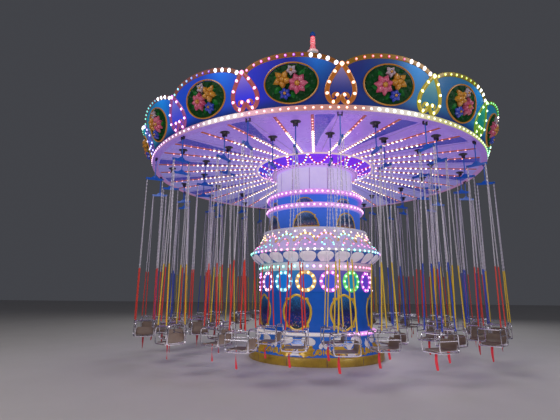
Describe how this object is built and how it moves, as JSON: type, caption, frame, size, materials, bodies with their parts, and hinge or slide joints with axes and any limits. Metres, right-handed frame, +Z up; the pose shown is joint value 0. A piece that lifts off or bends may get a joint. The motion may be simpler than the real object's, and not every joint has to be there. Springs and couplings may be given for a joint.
{
  "type": "chair swing ride",
  "caption": "Chair swing ride with a painted tower, a lifting head and a turning scalloped canopy that carries rings of chairs on chains.",
  "frame": {"origin": "middle of the tower's foot, on the ground", "axes": "+Z up along the tower, -Y towards the side that the picture shows"},
  "size_m": [9.5662, 9.5662, 9.62],
  "materials": {
    "gold_paint": "satin gold paint",
    "scroll_paint": "gloss white paint with blue and gold scrollwork",
    "tower_blue": "gloss blue paint",
    "cove_paint": "gloss white scallops on blue",
    "cornice_paint": "gloss lilac paint with gilt arches",
    "barrel_white": "satin white sheet, seamed upright",
    "flare_blue": "gloss blue paint with red swags",
    "deck_lilac": "satin lilac and violet paint",
    "crown_blue": "gloss blue moulded panels with gilt edges",
    "roof_white": "matt pale sheet",
    "chair_chrome": "polished tube",
    "bulb_lens": "clear domed lamp cap, lit from inside",
    "gilt_paint": "gloss gold-brown paint on moulded trim",
    "picture_paint": "painted garden scene under varnish",
    "relief_paint": "hand-painted moulded flowers",
    "sleeve_plastic": "coloured plastic sleeve over a chain",
    "seat_shell": "moulded brown seat shell",
    "strap_webbing": "woven red webbing",
    "hanger_blue": "gloss blue paint on bars and rods",
    "fitting_black": "satin black paint on brackets"
  },
  "bodies": {
    "tower": {"base_plinth": "gold_paint", "base_skirt": "scroll_paint", "lower_drum": "tower_blue", "cove_bowl": "cove_paint", "cornice_bell": "cornice_paint", "upper_drum": "tower_blue"},
    "lifting_head": {"lift_sleeve": "tower_blue", "head_barrel": "barrel_white"},
    "canopy": {"canopy_flare": "flare_blue", "canopy_deck": "deck_lilac", "crown_panels": "crown_blue", "canopy_roof": "roof_white"},
    "chair_outer_01": {"chair_outer_01": "chair_chrome"},
    "chair_outer_02": {"chair_outer_02": "chair_chrome"},
    "chair_outer_03": {"chair_outer_03": "chair_chrome"},
    "chair_outer_04": {"chair_outer_04": "chair_chrome"},
    "chair_outer_05": {"chair_outer_05": "chair_chrome"},
    "chair_outer_06": {"chair_outer_06": "chair_chrome"},
    "chair_outer_07": {"chair_outer_07": "chair_chrome"},
    "chair_outer_08": {"chair_outer_08": "chair_chrome"},
    "chair_outer_09": {"chair_outer_09": "chair_chrome"},
    "chair_outer_10": {"chair_outer_10": "chair_chrome"},
    "chair_outer_11": {"chair_outer_11": "chair_chrome"},
    "chair_outer_12": {"chair_outer_12": "chair_chrome"},
    "chair_outer_13": {"chair_outer_13": "chair_chrome"},
    "chair_outer_14": {"chair_outer_14": "chair_chrome"},
    "chair_outer_15": {"chair_outer_15": "chair_chrome"},
    "chair_outer_16": {"chair_outer_16": "chair_chrome"},
    "chair_middle_01": {"chair_middle_01": "chair_chrome"},
    "chair_middle_02": {"chair_middle_02": "chair_chrome"},
    "chair_middle_03": {"chair_middle_03": "chair_chrome"},
    "chair_middle_04": {"chair_middle_04": "chair_chrome"},
    "chair_middle_05": {"chair_middle_05": "chair_chrome"},
    "chair_middle_06": {"chair_middle_06": "chair_chrome"},
    "chair_middle_07": {"chair_middle_07": "chair_chrome"},
    "chair_middle_08": {"chair_middle_08": "chair_chrome"},
    "chair_middle_09": {"chair_middle_09": "chair_chrome"},
    "chair_middle_10": {"chair_middle_10": "chair_chrome"},
    "chair_middle_11": {"chair_middle_11": "chair_chrome"},
    "chair_middle_12": {"chair_middle_12": "chair_chrome"},
    "chair_middle_13": {"chair_middle_13": "chair_chrome"},
    "chair_middle_14": {"chair_middle_14": "chair_chrome"},
    "chair_middle_15": {"chair_middle_15": "chair_chrome"},
    "chair_middle_16": {"chair_middle_16": "chair_chrome"},
    "chair_inner_01": {"chair_inner_01": "chair_chrome"},
    "chair_inner_02": {"chair_inner_02": "chair_chrome"},
    "chair_inner_03": {"chair_inner_03": "chair_chrome"},
    "chair_inner_04": {"chair_inner_04": "chair_chrome"},
    "chair_inner_05": {"chair_inner_05": "chair_chrome"},
    "chair_inner_06": {"chair_inner_06": "chair_chrome"},
    "chair_inner_07": {"chair_inner_07": "chair_chrome"},
    "chair_inner_08": {"chair_inner_08": "chair_chrome"},
    "chair_inner_09": {"chair_inner_09": "chair_chrome"},
    "chair_inner_10": {"chair_inner_10": "chair_chrome"},
    "chair_inner_11": {"chair_inner_11": "chair_chrome"},
    "chair_inner_12": {"chair_inner_12": "chair_chrome"},
    "chair_inner_13": {"chair_inner_13": "chair_chrome"},
    "chair_inner_14": {"chair_inner_14": "chair_chrome"},
    "chair_inner_15": {"chair_inner_15": "chair_chrome"},
    "chair_inner_16": {"chair_inner_16": "chair_chrome"}
  },
  "joints": [
    {"name": "head_lift", "type": "slide", "parent": "tower", "child": "lifting_head", "axis": [0, 0, 1], "range_m": [0, 2.2]},
    {"name": "canopy_spin", "type": "hinge", "parent": "lifting_head", "child": "canopy", "pos_m": [0, 0, 5], "axis": [0, 0, 1], "continuous": true},
    {"name": "swing_outer_01", "type": "hinge", "parent": "canopy", "child": "chair_outer_01", "pos_m": [0.47597, -4.34601, 4.757], "axis": [-0.9941, -0.1089, 0], "range_deg": [-8, 45]},
    {"name": "swing_outer_02", "type": "hinge", "parent": "canopy", "child": "chair_outer_02", "pos_m": [2.10288, -3.83305, 4.757], "axis": [-0.8767, -0.481, 0], "range_deg": [-8, 45]},
    {"name": "swing_outer_03", "type": "hinge", "parent": "canopy", "child": "chair_outer_03", "pos_m": [3.40965, -2.73654, 4.757], "axis": [-0.6259, -0.7799, 0], "range_deg": [-8, 45]},
    {"name": "swing_outer_04", "type": "hinge", "parent": "canopy", "child": "chair_outer_04", "pos_m": [4.19734, -1.22341, 4.757], "axis": [-0.2798, -0.96, 0], "range_deg": [-8, 45]},
    {"name": "swing_outer_05", "type": "hinge", "parent": "canopy", "child": "chair_outer_05", "pos_m": [4.34601, 0.47597, 4.757], "axis": [0.1089, -0.9941, 0], "range_deg": [-8, 45]},
    {"name": "swing_outer_06", "type": "hinge", "parent": "canopy", "child": "chair_outer_06", "pos_m": [3.83305, 2.10288, 4.757], "axis": [0.481, -0.8767, 0], "range_deg": [-8, 45]},
    {"name": "swing_outer_07", "type": "hinge", "parent": "canopy", "child": "chair_outer_07", "pos_m": [2.73654, 3.40965, 4.757], "axis": [0.7799, -0.6259, 0], "range_deg": [-8, 45]},
    {"name": "swing_outer_08", "type": "hinge", "parent": "canopy", "child": "chair_outer_08", "pos_m": [1.22341, 4.19734, 4.757], "axis": [0.96, -0.2798, 0], "range_deg": [-8, 45]},
    {"name": "swing_outer_09", "type": "hinge", "parent": "canopy", "child": "chair_outer_09", "pos_m": [-0.47597, 4.34601, 4.757], "axis": [0.9941, 0.1089, 0], "range_deg": [-8, 45]},
    {"name": "swing_outer_10", "type": "hinge", "parent": "canopy", "child": "chair_outer_10", "pos_m": [-2.10288, 3.83305, 4.757], "axis": [0.8767, 0.481, 0], "range_deg": [-8, 45]},
    {"name": "swing_outer_11", "type": "hinge", "parent": "canopy", "child": "chair_outer_11", "pos_m": [-3.40965, 2.73654, 4.757], "axis": [0.6259, 0.7799, 0], "range_deg": [-8, 45]},
    {"name": "swing_outer_12", "type": "hinge", "parent": "canopy", "child": "chair_outer_12", "pos_m": [-4.19734, 1.22341, 4.757], "axis": [0.2798, 0.96, 0], "range_deg": [-8, 45]},
    {"name": "swing_outer_13", "type": "hinge", "parent": "canopy", "child": "chair_outer_13", "pos_m": [-4.34601, -0.47597, 4.757], "axis": [-0.1089, 0.9941, 0], "range_deg": [-8, 45]},
    {"name": "swing_outer_14", "type": "hinge", "parent": "canopy", "child": "chair_outer_14", "pos_m": [-3.83305, -2.10288, 4.757], "axis": [-0.481, 0.8767, 0], "range_deg": [-8, 45]},
    {"name": "swing_outer_15", "type": "hinge", "parent": "canopy", "child": "chair_outer_15", "pos_m": [-2.73654, -3.40965, 4.757], "axis": [-0.7799, 0.6259, 0], "range_deg": [-8, 45]},
    {"name": "swing_outer_16", "type": "hinge", "parent": "canopy", "child": "chair_outer_16", "pos_m": [-1.22341, -4.19734, 4.757], "axis": [-0.96, 0.2798, 0], "range_deg": [-8, 45]},
    {"name": "swing_middle_01", "type": "hinge", "parent": "canopy", "child": "chair_middle_01", "pos_m": [-0.34427, -3.93497, 4.75823], "axis": [-0.9962, 0.0872, 0], "range_deg": [-8, 45]},
    {"name": "swing_middle_02", "type": "hinge", "parent": "canopy", "child": "chair_middle_02", "pos_m": [1.18779, -3.76718, 4.75823], "axis": [-0.9537, -0.3007, 0], "range_deg": [-8, 45]},
    {"name": "swing_middle_03", "type": "hinge", "parent": "canopy", "child": "chair_middle_03", "pos_m": [2.53901, -3.02588, 4.75823], "axis": [-0.766, -0.6428, 0], "range_deg": [-8, 45]},
    {"name": "swing_middle_04", "type": "hinge", "parent": "canopy", "child": "chair_middle_04", "pos_m": [3.50369, -1.82391, 4.75823], "axis": [-0.4617, -0.887, 0], "range_deg": [-8, 45]},
    {"name": "swing_middle_05", "type": "hinge", "parent": "canopy", "child": "chair_middle_05", "pos_m": [3.93497, -0.34427, 4.75823], "axis": [-0.0872, -0.9962, 0], "range_deg": [-8, 45]},
    {"name": "swing_middle_06", "type": "hinge", "parent": "canopy", "child": "chair_middle_06", "pos_m": [3.76718, 1.18779, 4.75823], "axis": [0.3007, -0.9537, 0], "range_deg": [-8, 45]},
    {"name": "swing_middle_07", "type": "hinge", "parent": "canopy", "child": "chair_middle_07", "pos_m": [3.02588, 2.53901, 4.75823], "axis": [0.6428, -0.766, 0], "range_deg": [-8, 45]},
    {"name": "swing_middle_08", "type": "hinge", "parent": "canopy", "child": "chair_middle_08", "pos_m": [1.82391, 3.50369, 4.75823], "axis": [0.887, -0.4617, 0], "range_deg": [-8, 45]},
    {"name": "swing_middle_09", "type": "hinge", "parent": "canopy", "child": "chair_middle_09", "pos_m": [0.34427, 3.93497, 4.75823], "axis": [0.9962, -0.0872, 0], "range_deg": [-8, 45]},
    {"name": "swing_middle_10", "type": "hinge", "parent": "canopy", "child": "chair_middle_10", "pos_m": [-1.18779, 3.76718, 4.75823], "axis": [0.9537, 0.3007, 0], "range_deg": [-8, 45]},
    {"name": "swing_middle_11", "type": "hinge", "parent": "canopy", "child": "chair_middle_11", "pos_m": [-2.53901, 3.02588, 4.75823], "axis": [0.766, 0.6428, 0], "range_deg": [-8, 45]},
    {"name": "swing_middle_12", "type": "hinge", "parent": "canopy", "child": "chair_middle_12", "pos_m": [-3.50369, 1.82391, 4.75823], "axis": [0.4617, 0.887, 0], "range_deg": [-8, 45]},
    {"name": "swing_middle_13", "type": "hinge", "parent": "canopy", "child": "chair_middle_13", "pos_m": [-3.93497, 0.34427, 4.75823], "axis": [0.0872, 0.9962, 0], "range_deg": [-8, 45]},
    {"name": "swing_middle_14", "type": "hinge", "parent": "canopy", "child": "chair_middle_14", "pos_m": [-3.76718, -1.18779, 4.75823], "axis": [-0.3007, 0.9537, 0], "range_deg": [-8, 45]},
    {"name": "swing_middle_15", "type": "hinge", "parent": "canopy", "child": "chair_middle_15", "pos_m": [-3.02588, -2.53901, 4.75823], "axis": [-0.6428, 0.766, 0], "range_deg": [-8, 45]},
    {"name": "swing_middle_16", "type": "hinge", "parent": "canopy", "child": "chair_middle_16", "pos_m": [-1.82391, -3.50369, 4.75823], "axis": [-0.887, 0.4617, 0], "range_deg": [-8, 45]},
    {"name": "swing_inner_01", "type": "hinge", "parent": "canopy", "child": "chair_inner_01", "pos_m": [0.34293, -3.13128, 4.82841], "axis": [-0.9941, -0.1089, 0], "range_deg": [-8, 45]},
    {"name": "swing_inner_02", "type": "hinge", "parent": "canopy", "child": "chair_inner_02", "pos_m": [1.51511, -2.76169, 4.82841], "axis": [-0.8767, -0.481, 0], "range_deg": [-8, 45]},
    {"name": "swing_inner_03", "type": "hinge", "parent": "canopy", "child": "chair_inner_03", "pos_m": [2.45664, -1.97166, 4.82841], "axis": [-0.6259, -0.7799, 0], "range_deg": [-8, 45]},
    {"name": "swing_inner_04", "type": "hinge", "parent": "canopy", "child": "chair_inner_04", "pos_m": [3.02416, -0.88146, 4.82841], "axis": [-0.2798, -0.96, 0], "range_deg": [-8, 45]},
    {"name": "swing_inner_05", "type": "hinge", "parent": "canopy", "child": "chair_inner_05", "pos_m": [3.13128, 0.34293, 4.82841], "axis": [0.1089, -0.9941, 0], "range_deg": [-8, 45]},
    {"name": "swing_inner_06", "type": "hinge", "parent": "canopy", "child": "chair_inner_06", "pos_m": [2.76169, 1.51511, 4.82841], "axis": [0.481, -0.8767, 0], "range_deg": [-8, 45]},
    {"name": "swing_inner_07", "type": "hinge", "parent": "canopy", "child": "chair_inner_07", "pos_m": [1.97166, 2.45664, 4.82841], "axis": [0.7799, -0.6259, 0], "range_deg": [-8, 45]},
    {"name": "swing_inner_08", "type": "hinge", "parent": "canopy", "child": "chair_inner_08", "pos_m": [0.88146, 3.02416, 4.82841], "axis": [0.96, -0.2798, 0], "range_deg": [-8, 45]},
    {"name": "swing_inner_09", "type": "hinge", "parent": "canopy", "child": "chair_inner_09", "pos_m": [-0.34293, 3.13128, 4.82841], "axis": [0.9941, 0.1089, 0], "range_deg": [-8, 45]},
    {"name": "swing_inner_10", "type": "hinge", "parent": "canopy", "child": "chair_inner_10", "pos_m": [-1.51511, 2.76169, 4.82841], "axis": [0.8767, 0.481, 0], "range_deg": [-8, 45]},
    {"name": "swing_inner_11", "type": "hinge", "parent": "canopy", "child": "chair_inner_11", "pos_m": [-2.45664, 1.97166, 4.82841], "axis": [0.6259, 0.7799, 0], "range_deg": [-8, 45]},
    {"name": "swing_inner_12", "type": "hinge", "parent": "canopy", "child": "chair_inner_12", "pos_m": [-3.02416, 0.88146, 4.82841], "axis": [0.2798, 0.96, 0], "range_deg": [-8, 45]},
    {"name": "swing_inner_13", "type": "hinge", "parent": "canopy", "child": "chair_inner_13", "pos_m": [-3.13128, -0.34293, 4.82841], "axis": [-0.1089, 0.9941, 0], "range_deg": [-8, 45]},
    {"name": "swing_inner_14", "type": "hinge", "parent": "canopy", "child": "chair_inner_14", "pos_m": [-2.76169, -1.51511, 4.82841], "axis": [-0.481, 0.8767, 0], "range_deg": [-8, 45]},
    {"name": "swing_inner_15", "type": "hinge", "parent": "canopy", "child": "chair_inner_15", "pos_m": [-1.97166, -2.45664, 4.82841], "axis": [-0.7799, 0.6259, 0], "range_deg": [-8, 45]},
    {"name": "swing_inner_16", "type": "hinge", "parent": "canopy", "child": "chair_inner_16", "pos_m": [-0.88146, -3.02416, 4.82841], "axis": [-0.96, 0.2798, 0], "range_deg": [-8, 45]}
  ],
  "couplings": [
    {"joint": "swing_outer_02", "follows": "swing_outer_01", "ratio": 1},
    {"joint": "swing_outer_03", "follows": "swing_outer_01", "ratio": 1},
    {"joint": "swing_outer_04", "follows": "swing_outer_01", "ratio": 1},
    {"joint": "swing_outer_05", "follows": "swing_outer_01", "ratio": 1},
    {"joint": "swing_outer_06", "follows": "swing_outer_01", "ratio": 1},
    {"joint": "swing_outer_07", "follows": "swing_outer_01", "ratio": 1},
    {"joint": "swing_outer_08", "follows": "swing_outer_01", "ratio": 1},
    {"joint": "swing_outer_09", "follows": "swing_outer_01", "ratio": 1},
    {"joint": "swing_outer_10", "follows": "swing_outer_01", "ratio": 1},
    {"joint": "swing_outer_11", "follows": "swing_outer_01", "ratio": 1},
    {"joint": "swing_outer_12", "follows": "swing_outer_01", "ratio": 1},
    {"joint": "swing_outer_13", "follows": "swing_outer_01", "ratio": 1},
    {"joint": "swing_outer_14", "follows": "swing_outer_01", "ratio": 1},
    {"joint": "swing_outer_15", "follows": "swing_outer_01", "ratio": 1},
    {"joint": "swing_outer_16", "follows": "swing_outer_01", "ratio": 1},
    {"joint": "swing_middle_01", "follows": "swing_outer_01", "ratio": 1},
    {"joint": "swing_middle_02", "follows": "swing_outer_01", "ratio": 1},
    {"joint": "swing_middle_03", "follows": "swing_outer_01", "ratio": 1},
    {"joint": "swing_middle_04", "follows": "swing_outer_01", "ratio": 1},
    {"joint": "swing_middle_05", "follows": "swing_outer_01", "ratio": 1},
    {"joint": "swing_middle_06", "follows": "swing_outer_01", "ratio": 1},
    {"joint": "swing_middle_07", "follows": "swing_outer_01", "ratio": 1},
    {"joint": "swing_middle_08", "follows": "swing_outer_01", "ratio": 1},
    {"joint": "swing_middle_09", "follows": "swing_outer_01", "ratio": 1},
    {"joint": "swing_middle_10", "follows": "swing_outer_01", "ratio": 1},
    {"joint": "swing_middle_11", "follows": "swing_outer_01", "ratio": 1},
    {"joint": "swing_middle_12", "follows": "swing_outer_01", "ratio": 1},
    {"joint": "swing_middle_13", "follows": "swing_outer_01", "ratio": 1},
    {"joint": "swing_middle_14", "follows": "swing_outer_01", "ratio": 1},
    {"joint": "swing_middle_15", "follows": "swing_outer_01", "ratio": 1},
    {"joint": "swing_middle_16", "follows": "swing_outer_01", "ratio": 1},
    {"joint": "swing_inner_01", "follows": "swing_outer_01", "ratio": 1},
    {"joint": "swing_inner_02", "follows": "swing_outer_01", "ratio": 1},
    {"joint": "swing_inner_03", "follows": "swing_outer_01", "ratio": 1},
    {"joint": "swing_inner_04", "follows": "swing_outer_01", "ratio": 1},
    {"joint": "swing_inner_05", "follows": "swing_outer_01", "ratio": 1},
    {"joint": "swing_inner_06", "follows": "swing_outer_01", "ratio": 1},
    {"joint": "swing_inner_07", "follows": "swing_outer_01", "ratio": 1},
    {"joint": "swing_inner_08", "follows": "swing_outer_01", "ratio": 1},
    {"joint": "swing_inner_09", "follows": "swing_outer_01", "ratio": 1},
    {"joint": "swing_inner_10", "follows": "swing_outer_01", "ratio": 1},
    {"joint": "swing_inner_11", "follows": "swing_outer_01", "ratio": 1},
    {"joint": "swing_inner_12", "follows": "swing_outer_01", "ratio": 1},
    {"joint": "swing_inner_13", "follows": "swing_outer_01", "ratio": 1},
    {"joint": "swing_inner_14", "follows": "swing_outer_01", "ratio": 1},
    {"joint": "swing_inner_15", "follows": "swing_outer_01", "ratio": 1},
    {"joint": "swing_inner_16", "follows": "swing_outer_01", "ratio": 1}
  ]
}
